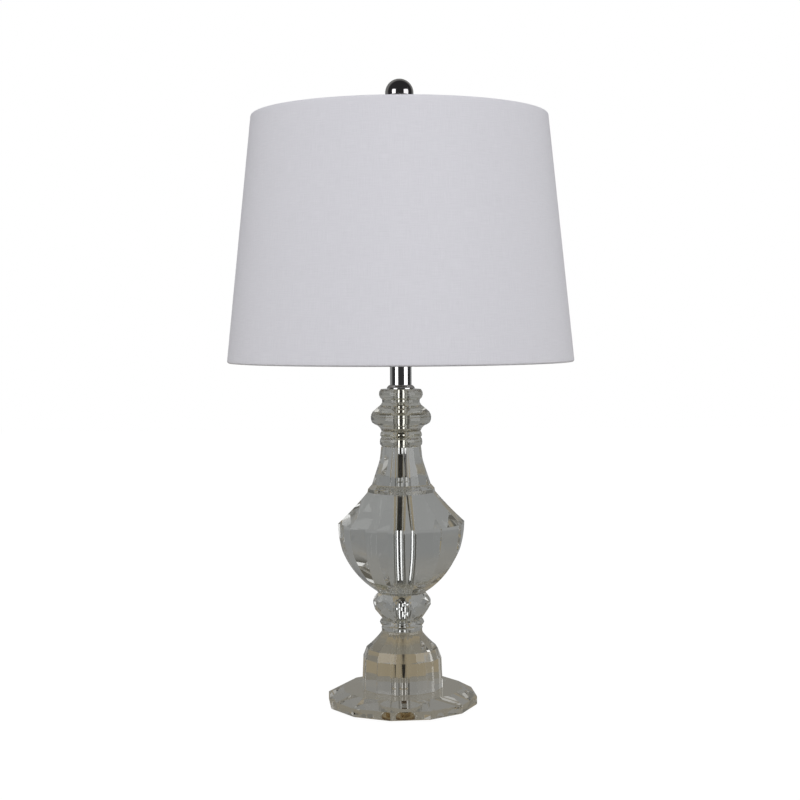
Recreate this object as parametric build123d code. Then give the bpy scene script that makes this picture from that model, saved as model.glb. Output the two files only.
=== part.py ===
from build123d import *
import os
from math import cos, radians, sin

# Crystal urn table lamp. Sizes are millimetres and angles are degrees.
# The lamp stands on Z = 0, its rod is the Z axis, and its front faces -Y.

# Crystal stack, from the base up
FACETS = 12
FOOT_HEIGHT = 2.5
BASE_HEIGHT = 16.2
BELL_HEIGHT = 58.0
RING_HEIGHT = 11.5
BALL_HEIGHT = 26.0
URN_HEIGHT = 110.7
NECK_HEIGHT = 38.2
COLLAR_HEIGHT = 15.2
BEAD_HEIGHT = 29.0
DISC_HEIGHT = 13.2
CLEAR_WASHER_HEIGHT = 0.5

# Direction of a facet's normal, counted from +X
BASE_TURN = 6.0
URN_TURN = -7.0

# Facet distances from the axis, and widths of the main forms
BASE_APOTHEM = 74.6
BASE_TOP_APOTHEM = 60.4
BASE_RIM_HEIGHT = 8.5
BASE_CHAMFER = 0.8
BELL_APOTHEM = 40.5
URN_APOTHEM = 63.4
URN_EQUATOR = 71.4
BEAD_RADIUS = 31.1
DISC_RADIUS = 22.6
RING_RADIUS = 22.9
COLLAR_RADIUS = 21.9

# Rod and what it clamps
ROD_RADIUS = 5.0
ROD_BORE = 4.0
CRYSTAL_BORE = 7.0
RECESS_RADIUS = 19.5
RECESS_DEPTH = 10.0
RUBBER_WASHER = (15.0, 1.0)
STEEL_WASHER = (14.0, 1.2)
NUT_FLATS = 14.0
BASE_NUT_HEIGHT = 3.5
ROD_PAST_NUT = 1.0
BUSHING_RADIUS = 6.4
BUSHING_BORE = 2.7
BUSHING_LIP = 2.8
CLEAR_WASHER_RADIUS = 12.5
FOOT_RADIUS = 5.5
FOOT_CIRCLE = 58.0
FEET = 4

# Chrome neck
FLANGE_RADIUS = 14.3
FLANGE_HEIGHT = 4.0
TUBE_RADIUS = 11.1
TUBE_WALL = 1.0
TUBE_LENGTH = 62.0
SPIGOT_HEIGHT = 3.0
TOP_WASHER = (12.6, 2.0)

# Harp and its saddle
HARP_HEIGHT = 203.0
HARP_WIRE = 1.6
HARP_HALF_WIDTH = 57.0
HARP_CROWN = 38.0
HARP_LEG = 33.0
HARP_WIDEST = (76.0, 128.0)
HARP_FOOT_GAP = 2.2
STRAP = 1.5
STRAP_HALF_WIDTH = 8.0
EAR_HALF_WIDTH = 3.0
EAR_OUTER = 28.6
EAR_HEIGHT = 17.0
LOCK_NUT_HEIGHT = 3.0
SLEEVE_BORE = 3.9
SLEEVE_RADIUS = 4.7
SLEEVE_HEIGHT = 13.0
SLEEVE_GAP = 0.5
STUD_RADIUS = 6.0
STUD_COLLAR = 8.5
STUD_THREAD = 3.05
STUD_LENGTH = 11.0
STUD_CHAMFER = 0.8

# Socket, switch and bulb
SOCKET_WALL = 0.9
CAP_RADIUS = 17.0
CAP_HEIGHT = 19.0
CAP_THREAD = 7.0
SHELL_RADIUS = 16.0
SHELL_LENGTH = 43.0
SHELL_LAP = 5.0
LINER_WALL = 0.6
LINER_SETBACK = 1.0
BODY_HEIGHT = 15.0
SWITCH_HEIGHT = 23.5
SWITCH_STEM = 1.8
SWITCH_CLEARANCE = 0.9
SWITCH_REACH = 21.0
KNOB_RADIUS = 6.5
KNOB_LENGTH = 13.0
KNOB_HOLE = 10.0
KNOB_FLUTES = 12
SCREW_SHELL_RADIUS = 13.7
SCREW_SHELL_WALL = 0.4
SCREW_SHELL_LENGTH = 22.0
CONTACT_SPRING = (5.0, 3.0, 1.0)
BULB_SEAT = 14.0
BULB_BASE_RADIUS = 13.0
BULB_BASE_BOTTOM = 4.5
BULB_BASE_TOP = 25.5
BULB_RIDGES = 4
BULB_PITCH = 3.6
BULB_CONTACT = (3.0, 8.5, 1.3)
BULB_RADIUS = 30.0
BULB_LENGTH = 109.0
BULB_WALL = 0.8

# Shade
SHADE_BOTTOM = 352.8
SHADE_HEIGHT = 252.9
SHADE_BOTTOM_RADIUS = 177.8
SHADE_TOP_RADIUS = 152.6
COVER = 0.5
LINING = 0.5
HEM = 9.0
RING_WIRE = 1.5
SPIDER_WIRE = 1.5
SPIDER_ARMS = 3
SPIDER_DIP = (24.0, 52.0)
SPIDER_WASHER = (10.0, 1.5)
SPIDER_HOLE = 3.6

# Finial
FINIAL_BALL = 14.6
FINIAL_TOP = 644.1
FINIAL_STEM = 4.4
INSERT_RADIUS = 4.3
INSERT_HEIGHT = 8.0

# Small gap between pieces that turn on each other
PLAY = 0.2

ON_FLOOR = (Align.CENTER, Align.CENTER, Align.MIN)


def section(*edges):
    """The face in the XZ plane with this border, whose points are (radius, height)."""
    return Plane.XZ * make_face(edges)


def turned(*edges):
    """A piece turned about Z. The edges run from its bore at the bottom to its bore at the top."""
    closing = Line(edges[-1] @ 1, edges[0] @ 0)
    return revolve(section(*edges, closing), Axis.Z)


def tube(outer, inner, bottom, height):
    """A plain tube about Z."""
    ring = Circle(outer) - Circle(inner)
    return extrude(Pos(0, 0, bottom) * ring, height)


def disc(radius, height, bore):
    """A plain washer on Z = 0."""
    return tube(radius, bore, 0, height)


def drilled(piece, radius):
    """The piece with a hole of this radius along Z, right through."""
    return piece - Cylinder(radius, 4 * URN_HEIGHT)


def hex_nut(flats, height, bore):
    """A hexagon nut on Z = 0, with its corners turned off."""
    corner = flats / 2 / cos(radians(30))
    blank = extrude(RegularPolygon(corner, 6), height)
    cone = turned(
        Line((bore, 0), (corner - 0.7, 0)),
        Line((corner - 0.7, 0), (corner + 0.1, 0.6)),
        Line((corner + 0.1, 0.6), (corner + 0.1, height - 0.6)),
        Line((corner + 0.1, height - 0.6), (corner - 0.7, height)),
        Line((corner - 0.7, height), (bore, height)),
    )
    return blank & cone


def faceted(turn, *edges):
    """A crystal cut all round with facets that follow one outline, from the bottom to the top.

    Each slab is the outline drawn out sideways, so it carries two opposite facets.
    """
    top = (edges[-1] @ 1).Y
    half = section(Line((0, 0), edges[0] @ 0), *edges, Line(edges[-1] @ 1, (0, top)), Line((0, top), (0, 0)))
    slab = extrude(half + mirror(half, Plane.YZ), 2 * BASE_APOTHEM, both=True)
    cut = slab
    for i in range(1, FACETS // 2):
        cut = cut & Rot(0, 0, i * 360 / FACETS) * slab
    return drilled(Rot(0, 0, turn) * cut, CRYSTAL_BORE)


def base_plate():
    """The bevelled slab, with the round recess under it for the nut."""
    rim = BASE_APOTHEM - BASE_CHAMFER
    slab = faceted(
        BASE_TURN,
        Line((rim, 0), (BASE_APOTHEM, BASE_CHAMFER)),
        Line((BASE_APOTHEM, BASE_CHAMFER), (BASE_APOTHEM, BASE_RIM_HEIGHT)),
        Line((BASE_APOTHEM, BASE_RIM_HEIGHT), (BASE_TOP_APOTHEM, BASE_HEIGHT)),
    )
    return slab - Cylinder(RECESS_RADIUS, RECESS_DEPTH, align=ON_FLOOR)


def bell():
    """Nearly upright sides, a bevel, and a hollow shoulder up to a short neck."""
    return faceted(
        BASE_TURN,
        Line((BELL_APOTHEM, 0), (39.3, 30.8)),
        Line((39.3, 30.8), (35.8, 40.1)),
        ThreePointArc((35.8, 40.1), (27.6, 47.6), (20.6, 56.0)),
        Line((20.6, 56.0), (20.4, BELL_HEIGHT)),
    )


def urn():
    """A bowl-shaped belly, a sharp edge at its widest, a hollow shoulder and a bevelled lip."""
    bowl = ThreePointArc((25.3, 1.5), (47.3, 22.1), (58.9, 42.7))
    return faceted(
        URN_TURN,
        Line((23.9, 0), (25.3, 1.5)),
        bowl,
        TangentArc(bowl @ 1, (URN_APOTHEM, URN_EQUATOR), tangent=bowl % 1),
        ThreePointArc((URN_APOTHEM, URN_EQUATOR), (46.9, 88.0), (34.0, 103.0)),
        Line((34.0, 103.0), (33.4, 106.4)),
        Line((33.4, 106.4), (29.7, URN_HEIGHT)),
    )


def neck():
    """Straight above, then flared down to the urn's lip."""
    side = FilletPolyline((29.4, 0), (21.7, 24.0), (20.1, NECK_HEIGHT), radius=60)
    return faceted(URN_TURN, *side.edges())


def ring():
    """A small turned ring, fullest above its middle."""
    return turned(
        Line((CRYSTAL_BORE, 0), (20.6, 0)),
        Line((20.6, 0), (21.3, 2.6)),
        ThreePointArc((21.3, 2.6), (RING_RADIUS, 7.6), (20.4, RING_HEIGHT)),
        Line((20.4, RING_HEIGHT), (CRYSTAL_BORE, RING_HEIGHT)),
    )


def collar():
    """A small turned collar, fullest below its middle."""
    return turned(
        Line((CRYSTAL_BORE, 0), (20.2, 0)),
        ThreePointArc((20.2, 0), (COLLAR_RADIUS, 5.4), (20.5, 11.6)),
        Line((20.5, 11.6), (20.2, COLLAR_HEIGHT)),
        Line((20.2, COLLAR_HEIGHT), (CRYSTAL_BORE, COLLAR_HEIGHT)),
    )


def bead():
    """The large turned bead: a full rim between two hollow ends."""
    return turned(
        Line((CRYSTAL_BORE, 0), (20.2, 0)),
        ThreePointArc((20.2, 0), (22.2, 3.8), (27.2, 6.8)),
        Line((27.2, 6.8), (29.9, 8.8)),
        ThreePointArc((29.9, 8.8), (BEAD_RADIUS, 13.6), (29.1, 19.8)),
        Line((29.1, 19.8), (23.4, 24.7)),
        ThreePointArc((23.4, 24.7), (20.7, 27.0), (19.6, BEAD_HEIGHT)),
        Line((19.6, BEAD_HEIGHT), (CRYSTAL_BORE, BEAD_HEIGHT)),
    )


def top_disc():
    """The turned disc under the chrome flange, on a short neck of its own."""
    return turned(
        Line((CRYSTAL_BORE, 0), (19.4, 0)),
        Line((19.4, 0), (19.4, 2.6)),
        ThreePointArc((19.4, 2.6), (DISC_RADIUS, 9.2), (20.8, DISC_HEIGHT)),
        Line((20.8, DISC_HEIGHT), (CRYSTAL_BORE, DISC_HEIGHT)),
    )


def diamond_ball():
    """The diamond-cut ball: rows of corners, each turned half a facet from the row below."""
    rows = [(20.8, 0.0), (27.9, 9.2), (29.9, 14.2), (29.9, 18.2), (28.2, 22.0), (24.4, BALL_HEIGHT)]

    def corner(row, i):
        radius, height = rows[row]
        turn = radians(URN_TURN + (i + row / 2) * 360 / FACETS)
        return Vector(radius * cos(turn), radius * sin(turn), height)

    faces = []
    for row in range(len(rows) - 1):
        for i in range(FACETS):
            low, low_next = corner(row, i), corner(row, i + 1)
            high, high_last = corner(row + 1, i), corner(row + 1, i - 1)
            faces.append(Face(Wire.make_polygon([low, low_next, high])))
            faces.append(Face(Wire.make_polygon([low, high, high_last])))
    for row in (0, len(rows) - 1):
        faces.append(Face(Wire.make_polygon([corner(row, i) for i in range(FACETS)])))
    return drilled(Part() + Solid(Shell(faces)), CRYSTAL_BORE)


def foot():
    """A clear stick-on foot, flat on both sides."""
    return turned(
        Line((0, 0), (FOOT_RADIUS - 1.5, 0)),
        RadiusArc((FOOT_RADIUS - 1.5, 0), (FOOT_RADIUS, FOOT_HEIGHT), -4),
        Line((FOOT_RADIUS, FOOT_HEIGHT), (0, FOOT_HEIGHT)),
    )


def bushing():
    """A plastic cap over the rod's end, with the hole that the lead would leave by."""
    return turned(
        Line((BUSHING_BORE, 0), (BUSHING_RADIUS, 0)),
        Line((BUSHING_RADIUS, 0), (BUSHING_RADIUS, BUSHING_LIP + ROD_PAST_NUT)),
        Line((BUSHING_RADIUS, BUSHING_LIP + ROD_PAST_NUT), (ROD_RADIUS, BUSHING_LIP + ROD_PAST_NUT)),
        Line((ROD_RADIUS, BUSHING_LIP + ROD_PAST_NUT), (ROD_RADIUS, BUSHING_LIP)),
        Line((ROD_RADIUS, BUSHING_LIP), (BUSHING_BORE, BUSHING_LIP)),
    )


def neck_flange():
    """The chrome cap on the top disc, domed at its edge, with a spigot inside the tube."""
    spigot = TUBE_RADIUS - TUBE_WALL
    top = FLANGE_HEIGHT + SPIGOT_HEIGHT
    return turned(
        Line((ROD_RADIUS, 0), (FLANGE_RADIUS, 0)),
        Line((FLANGE_RADIUS, 0), (FLANGE_RADIUS, 1.2)),
        RadiusArc((FLANGE_RADIUS, 1.2), (TUBE_RADIUS, FLANGE_HEIGHT), -5),
        Line((TUBE_RADIUS, FLANGE_HEIGHT), (spigot, FLANGE_HEIGHT)),
        Line((spigot, FLANGE_HEIGHT), (spigot, top)),
        Line((spigot, top), (ROD_RADIUS, top)),
    )


def tube_top_washer():
    """The chrome washer that closes the tube, on a spigot like the flange's."""
    radius, height = TOP_WASHER
    spigot = TUBE_RADIUS - TUBE_WALL
    return turned(
        Line((ROD_RADIUS, -SPIGOT_HEIGHT), (spigot, -SPIGOT_HEIGHT)),
        Line((spigot, -SPIGOT_HEIGHT), (spigot, 0)),
        Line((spigot, 0), (radius, 0)),
        Line((radius, 0), (radius, height / 2)),
        RadiusArc((radius, height / 2), (radius - 1, height), -1),
        Line((radius - 1, height), (ROD_RADIUS, height)),
    )


def saddle():
    """A strap with a hole for the rod and an ear at each end for the harp."""
    middle = EAR_OUTER - STRAP / 2
    path = FilletPolyline(
        (-middle, EAR_HEIGHT), (-middle, STRAP / 2), (middle, STRAP / 2), (middle, EAR_HEIGHT), radius=2
    )
    strip = Plane.XZ * trace(path, STRAP)
    ears = extrude(strip, EAR_HALF_WIDTH, both=True)
    strap = extrude(strip, STRAP_HALF_WIDTH, both=True)
    strap = strap & Box(2 * (EAR_OUTER - 5), 2 * STRAP_HALF_WIDTH, STRAP, align=ON_FLOOR)
    return drilled(ears + strap, ROD_RADIUS)


def harp_wire(foot_z, top_z):
    """The loop of round wire, from ear to ear."""
    leg = EAR_OUTER + HARP_WIRE
    side = [(leg, foot_z), (leg, foot_z + HARP_LEG)]
    side += [(HARP_HALF_WIDTH, foot_z + height) for height in HARP_WIDEST]
    side += [(HARP_CROWN, top_z)]
    points = side + [(-x, z) for x, z in reversed(side)]
    radii = [20, 30, 70, 20]
    path = FilletPolyline(*points, radius=radii + list(reversed(radii)))
    path = Plane.XZ * path
    start = Plane(origin=path @ 0, z_dir=path % 0)
    return sweep(start * Circle(HARP_WIRE), path)


def harp_stud(wire_z):
    """The stud that carries the shade. Its collar is drilled across for the wire."""
    collar_top = stud_top()
    bottom = collar_top - STUD_COLLAR
    top = collar_top + STUD_LENGTH
    cut = STUD_CHAMFER
    stud = turned(
        Line((0, bottom), (STUD_RADIUS - cut, bottom)),
        Line((STUD_RADIUS - cut, bottom), (STUD_RADIUS, bottom + cut)),
        Line((STUD_RADIUS, bottom + cut), (STUD_RADIUS, collar_top)),
        Line((STUD_RADIUS, collar_top), (STUD_THREAD, collar_top)),
        Line((STUD_THREAD, collar_top), (STUD_THREAD, top - cut)),
        Line((STUD_THREAD, top - cut), (STUD_THREAD - cut, top)),
        Line((STUD_THREAD - cut, top), (0, top)),
    )
    return stud - Pos(0, 0, wire_z) * Rot(0, 90, 0) * Cylinder(HARP_WIRE, 4 * STUD_RADIUS)


def socket_cap():
    """The metal cup that screws on the rod and holds the shell."""
    inner = CAP_RADIUS - SOCKET_WALL
    boss = 7.0
    rim = 12.0
    return turned(
        Line((ROD_RADIUS, 0), (boss, 0)),
        Line((boss, 0), (boss, 3.0)),
        ThreePointArc((boss, 3.0), (14.0, 5.6), (CAP_RADIUS, rim)),
        Line((CAP_RADIUS, rim), (CAP_RADIUS, CAP_HEIGHT)),
        Line((CAP_RADIUS, CAP_HEIGHT), (inner, CAP_HEIGHT)),
        Line((inner, CAP_HEIGHT), (inner, rim)),
        ThreePointArc((inner, rim), (13.4, 6.2), (boss, 4.0)),
        Line((boss, 4.0), (boss, CAP_THREAD)),
        Line((boss, CAP_THREAD), (ROD_RADIUS, CAP_THREAD)),
    )


def socket_shell():
    """The metal shell, beaded at its mouth."""
    inner = SHELL_RADIUS - SOCKET_WALL
    mouth = SHELL_LENGTH - 3
    return turned(
        Line((inner, 0), (SHELL_RADIUS, 0)),
        Line((SHELL_RADIUS, 0), (SHELL_RADIUS, mouth)),
        RadiusArc((SHELL_RADIUS, mouth), (SHELL_RADIUS, SHELL_LENGTH - 0.6), -1.4),
        Line((SHELL_RADIUS, SHELL_LENGTH - 0.6), (SHELL_RADIUS - 0.3, SHELL_LENGTH)),
        Line((SHELL_RADIUS - 0.3, SHELL_LENGTH), (inner, SHELL_LENGTH)),
    )


def stem_hole(radius):
    """A hole through the front wall of the socket, in the place of the switch stem."""
    return Rot(90, 0, 0) * Cylinder(radius, 2 * SHELL_RADIUS, align=ON_FLOOR)


def switch_knob():
    """A fluted, slightly tapered knob that lies along -Y."""
    knob = extrude(Circle(KNOB_RADIUS), KNOB_LENGTH, taper=3)
    for i in range(KNOB_FLUTES):
        groove = Pos(KNOB_RADIUS + 0.7, 0, 1.5) * Cylinder(1.1, KNOB_LENGTH, align=ON_FLOOR)
        knob -= Rot(0, 0, i * 360 / KNOB_FLUTES) * groove
    knob -= Cylinder(SWITCH_STEM, KNOB_HOLE, align=ON_FLOOR)
    return Rot(90, 0, 0) * knob


def bulb_glass():
    """The pear-shaped envelope, one thin wall that is open at its neck."""
    centre = BULB_LENGTH - BULB_RADIUS

    def outline(inset):
        neck = BULB_BASE_RADIUS - 0.6 - inset
        radius = BULB_RADIUS - inset
        return [
            Line((neck, BULB_BASE_TOP), (neck, 33.0)),
            ThreePointArc((neck, 33.0), (21.6 - inset, 56.0), (radius, centre)),
            CenterArc((0, centre), radius, 0, 90),
        ]

    outer = outline(0)
    inner = outline(BULB_WALL)
    ends = [Line(outer[0] @ 0, inner[0] @ 0), Line(outer[-1] @ 1, inner[-1] @ 1)]
    return revolve(section(*outer, *inner, *ends), Axis.Z)


def bulb_base():
    """The screw base, with the ridges of its coarse thread as rings."""
    root = BULB_BASE_RADIUS - 1.2
    tip = root - 2.3
    low = BULB_BASE_BOTTOM + 1.5
    edges = [Line((0, BULB_BASE_BOTTOM), (tip, BULB_BASE_BOTTOM))]
    edges.append(Line((tip, BULB_BASE_BOTTOM), (root, low)))
    for i in range(BULB_RIDGES):
        high = low + BULB_PITCH
        edges.append(ThreePointArc((root, low), (BULB_BASE_RADIUS, low + BULB_PITCH / 2), (root, high)))
        low = high
    edges.append(Line((root, low), (BULB_BASE_RADIUS, BULB_BASE_TOP)))
    edges.append(Line((BULB_BASE_RADIUS, BULB_BASE_TOP), (0, BULB_BASE_TOP)))
    return turned(*edges)


def shade_point(inward, along, at_top=False):
    """A point of the shade's section, inward from its outer face and along its slope from a rim."""
    slope = Vector(SHADE_TOP_RADIUS - SHADE_BOTTOM_RADIUS, SHADE_HEIGHT).normalized()
    inner = Vector(-slope.Y, slope.X)
    rim = Vector(SHADE_BOTTOM_RADIUS, SHADE_BOTTOM)
    if at_top:
        rim = Vector(SHADE_TOP_RADIUS, SHADE_BOTTOM + SHADE_HEIGHT)
        along = -along
    point = rim + inner * inward + slope * along
    return (point.X, point.Y)


def shade_cover():
    """The linen cover: one skin that rolls round a wire at each rim and ends glued inside.

    The top hem is slit where each arm of the spider leaves the wire.
    """
    middle = COVER / 2
    wire = COVER + RING_WIRE
    fold = wire + RING_WIRE + middle
    edges = [Line(shade_point(middle, wire), shade_point(middle, wire, True))]
    for at_top in (False, True):
        rim = [shade_point(middle, wire, at_top), shade_point(wire, middle, at_top)]
        back = shade_point(fold, wire, at_top)
        past_wire = shade_point(fold, wire + RING_WIRE, at_top)
        glued = shade_point(COVER + LINING + middle, 2 * wire + HEM / 3, at_top)
        end = shade_point(COVER + LINING + middle, 2 * wire + HEM, at_top)
        edges += [ThreePointArc(*rim, back), Line(back, past_wire), Line(past_wire, glued), Line(glued, end)]
    cover = revolve(Plane.XZ * trace(Curve() + edges, COVER), Axis.Z)
    radius, height = shade_point(wire, wire, True)
    slit = Box(HEM, 3 * SPIDER_WIRE, 2 * HEM, align=(Align.MAX, Align.CENTER, Align.MAX))
    for turn in arm_turns():
        cover -= Rot(0, 0, turn) * Pos(radius, 0, height + SPIDER_WIRE + PLAY) * slit
    return cover


def shade_lining():
    """The stiff lining behind the linen, between the two rim wires."""
    start = COVER + 2 * RING_WIRE + 0.6
    corners = [shade_point(COVER, start), shade_point(COVER + LINING, start)]
    corners += [shade_point(COVER + LINING, start, True), shade_point(COVER, start, True)]
    return revolve(Plane.XZ * make_face(Polyline(*corners, close=True)), Axis.Z)


def rim_wire(at_top):
    """The round wire in one rim's fold."""
    radius, height = shade_point(COVER + RING_WIRE, COVER + RING_WIRE, at_top)
    return Pos(0, 0, height) * Torus(radius, RING_WIRE)


def arm_turns():
    """The direction of each arm of the spider, counted from +X."""
    return [90 + i * 360 / SPIDER_ARMS for i in range(SPIDER_ARMS)]


def spider():
    """The top wire with its arms, which dip to the washer on the harp's stud and end level with its top."""
    radius, height = shade_point(COVER + RING_WIRE, COVER + RING_WIRE, True)
    washer_radius, washer_height = SPIDER_WASHER
    washer_z = stud_top() + PLAY
    arm_z = washer_z + washer_height - SPIDER_WIRE
    dip_start = radius - SPIDER_DIP[0]
    dip_end = radius - SPIDER_DIP[1]
    path = FilletPolyline(
        (radius, 0, height), (dip_start, 0, height - 1), (dip_end, 0, arm_z), (washer_radius - 2, 0, arm_z),
        radius=18,
    )
    arm = sweep(Plane(origin=path @ 0, z_dir=path % 0) * Circle(SPIDER_WIRE), path)
    frame = rim_wire(True) + Pos(0, 0, washer_z) * Cylinder(washer_radius, washer_height, align=ON_FLOOR)
    for turn in arm_turns():
        frame += Rot(0, 0, turn) * arm
    return frame - Pos(0, 0, washer_z) * Cylinder(SPIDER_HOLE, 4 * washer_height)


def finial():
    """A ball on a small turned foot, bored for its threaded insert."""
    bottom = stud_top() + SPIDER_WASHER[1] + 2 * PLAY
    ball_z = FINIAL_TOP - FINIAL_BALL
    join = ball_z - (FINIAL_BALL ** 2 - FINIAL_STEM ** 2) ** 0.5
    foot = 7.2
    waist = 5.6
    bore = STUD_THREAD + PLAY
    bore_top = bottom + STUD_LENGTH + 1
    insert_top = bottom + INSERT_HEIGHT
    return turned(
        Line((INSERT_RADIUS, bottom), (foot, bottom)),
        RadiusArc((foot, bottom), (foot, bottom + 2.6), -1.6),
        ThreePointArc((foot, bottom + 2.6), (waist, bottom + 4.6), (waist, bottom + 6.6)),
        RadiusArc((waist, bottom + 6.6), (waist, bottom + 9.4), -1.6),
        ThreePointArc((waist, bottom + 9.4), (4.6, bottom + 11.5), (FINIAL_STEM, join)),
        ThreePointArc((FINIAL_STEM, join), (FINIAL_BALL, ball_z), (0, FINIAL_TOP)),
        Line((0, FINIAL_TOP), (0, bore_top)),
        Line((0, bore_top), (bore, bore_top)),
        Line((bore, bore_top), (bore, insert_top)),
        Line((bore, insert_top), (INSERT_RADIUS, insert_top)),
    )


# Heights up the stack, worked out from the sizes above
STACK = [
    ("base_plate", BASE_HEIGHT, base_plate),
    ("bell_crystal", BELL_HEIGHT, bell),
    ("ring_crystal", RING_HEIGHT, ring),
    ("ball_crystal", BALL_HEIGHT, diamond_ball),
    ("urn_crystal", URN_HEIGHT, urn),
    ("neck_crystal", NECK_HEIGHT, neck),
    ("collar_crystal", COLLAR_HEIGHT, collar),
    ("bead_crystal", BEAD_HEIGHT, bead),
    ("disc_crystal", DISC_HEIGHT, top_disc),
]
STACK_HEIGHT = sum(height + CLEAR_WASHER_HEIGHT for name, height, shape in STACK)
FLANGE_Z = FOOT_HEIGHT + STACK_HEIGHT
TUBE_Z = FLANGE_Z + FLANGE_HEIGHT
TUBE_TOP = TUBE_Z + TUBE_LENGTH
SADDLE_Z = TUBE_TOP + TOP_WASHER[1]
LOCK_NUT_Z = SADDLE_Z + STRAP
SOCKET_Z = LOCK_NUT_Z + LOCK_NUT_HEIGHT
SHELL_Z = SOCKET_Z + CAP_HEIGHT - SHELL_LAP
BULB_Z = SHELL_Z + BULB_SEAT


def stud_top():
    """The height of the collar that the shade rests on."""
    return SADDLE_Z + HARP_HEIGHT


def stack_nodes():
    """The crystals from the base up, with a clear washer on each."""
    nodes = {}
    clear_washers = []
    z = FOOT_HEIGHT
    for name, height, shape in STACK:
        nodes[name] = Pos(0, 0, z) * shape()
        z += height
        clear_washers.append(Pos(0, 0, z) * disc(CLEAR_WASHER_RADIUS, CLEAR_WASHER_HEIGHT, CRYSTAL_BORE))
        z += CLEAR_WASHER_HEIGHT
    nodes["clear_washers"] = Compound(clear_washers)
    return nodes


def rod_nodes():
    """The rod, what clamps the stack on it from below, and the feet."""
    rubber_z = FOOT_HEIGHT + RECESS_DEPTH - RUBBER_WASHER[1]
    steel_z = rubber_z - STEEL_WASHER[1]
    nut_z = steel_z - BASE_NUT_HEIGHT
    rod_z = nut_z - ROD_PAST_NUT
    turns = [45 + i * 360 / FEET for i in range(FEET)]
    return {
        "rubber_washer": Pos(0, 0, rubber_z) * disc(*RUBBER_WASHER, ROD_RADIUS),
        "steel_washer": Pos(0, 0, steel_z) * disc(*STEEL_WASHER, ROD_RADIUS),
        "base_nut": Pos(0, 0, nut_z) * hex_nut(NUT_FLATS, BASE_NUT_HEIGHT, ROD_RADIUS),
        "rod": tube(ROD_RADIUS, ROD_BORE, rod_z, SOCKET_Z + CAP_THREAD - rod_z),
        "cord_bushing": Pos(0, 0, rod_z - BUSHING_LIP) * bushing(),
        "feet": Compound([Rot(0, 0, turn) * Pos(FOOT_CIRCLE, 0, 0) * foot() for turn in turns]),
    }


def neck_nodes():
    """The chrome neck."""
    return {
        "neck_flange": Pos(0, 0, FLANGE_Z) * neck_flange(),
        "neck_tube": tube(TUBE_RADIUS, TUBE_RADIUS - TUBE_WALL, TUBE_Z, TUBE_LENGTH),
        "tube_top_washer": Pos(0, 0, TUBE_TOP) * tube_top_washer(),
    }


def harp_nodes():
    """The harp on its saddle, with the stud that carries the shade."""
    wire_z = stud_top() - STUD_COLLAR + 1.5 * HARP_WIRE
    sleeve_x = EAR_OUTER + HARP_WIRE / 2
    sleeve = tube(SLEEVE_RADIUS, SLEEVE_BORE, LOCK_NUT_Z + SLEEVE_GAP, SLEEVE_HEIGHT)
    return {
        "harp_saddle": Pos(0, 0, SADDLE_Z) * saddle(),
        "lock_nut": Pos(0, 0, LOCK_NUT_Z) * hex_nut(NUT_FLATS, LOCK_NUT_HEIGHT, ROD_RADIUS),
        "harp": harp_wire(SADDLE_Z + HARP_FOOT_GAP, wire_z),
        "harp_stud": harp_stud(wire_z),
        "harp_sleeve_left": Pos(-sleeve_x, 0, 0) * sleeve,
        "harp_sleeve_right": Pos(sleeve_x, 0, 0) * sleeve,
    }


def socket_nodes():
    """The socket: its shells, its insulating body, its contacts and its switch."""
    inner = SHELL_RADIUS - SOCKET_WALL
    lined = inner - LINER_WALL
    low = SHELL_Z + LINER_SETBACK
    screw_z = low + BODY_HEIGHT
    switch = Pos(0, 0, SOCKET_Z + SWITCH_HEIGHT)
    hole = switch * stem_hole(SWITCH_STEM + SWITCH_CLEARANCE)
    body = Pos(0, 0, low) * Cylinder(lined, BODY_HEIGHT, align=ON_FLOOR)
    stem_length = SWITCH_REACH + KNOB_HOLE
    screw_inner = SCREW_SHELL_RADIUS
    return {
        "socket_cap": Pos(0, 0, SOCKET_Z) * socket_cap(),
        "socket_shell": Pos(0, 0, SHELL_Z) * socket_shell() - hole,
        "socket_liner": tube(inner, lined, low, SHELL_LENGTH - 2 * LINER_SETBACK) - hole,
        "socket_body": body - switch * stem_hole(SWITCH_STEM + PLAY),
        "screw_shell": tube(screw_inner + SCREW_SHELL_WALL, screw_inner, screw_z, SCREW_SHELL_LENGTH),
        "centre_contact": Pos(0, 0, screw_z) * Box(*CONTACT_SPRING, align=ON_FLOOR),
        "switch_stem": switch * Rot(90, 0, 0) * Cylinder(SWITCH_STEM, stem_length, align=ON_FLOOR),
        "switch_knob": switch * Pos(0, -SWITCH_REACH, 0) * switch_knob(),
    }


def bulb_nodes():
    """The bulb, screwed in."""
    seat = Pos(0, 0, BULB_Z)
    contact_z = BULB_BASE_BOTTOM - BULB_CONTACT[2]
    return {
        "bulb_glass": seat * bulb_glass(),
        "bulb_base": seat * bulb_base(),
        "bulb_contact": seat * Pos(0, 0, contact_z) * Cone(*BULB_CONTACT, align=ON_FLOOR),
    }


def shade_nodes():
    """The shade, and the finial that holds it down."""
    insert_z = stud_top() + SPIDER_WASHER[1] + 2 * PLAY
    return {
        "shade_cover": shade_cover(),
        "shade_lining": shade_lining(),
        "shade_bottom_ring": rim_wire(False),
        "shade_spider": spider(),
        "finial": finial(),
        "finial_insert": tube(INSERT_RADIUS, STUD_THREAD + PLAY, insert_z, INSERT_HEIGHT),
    }


def lamp():
    """Every node of the lamp, by name."""
    nodes = {}
    for group in (stack_nodes, rod_nodes, neck_nodes, harp_nodes, socket_nodes, bulb_nodes, shade_nodes):
        nodes.update(group())
    return nodes


os.makedirs("parts", exist_ok=True)
for node, shape in lamp().items():
    export_step(shape, f"parts/{node}.step")
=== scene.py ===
import math

import bmesh
import bpy
from mathutils import Matrix, Vector

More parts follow.
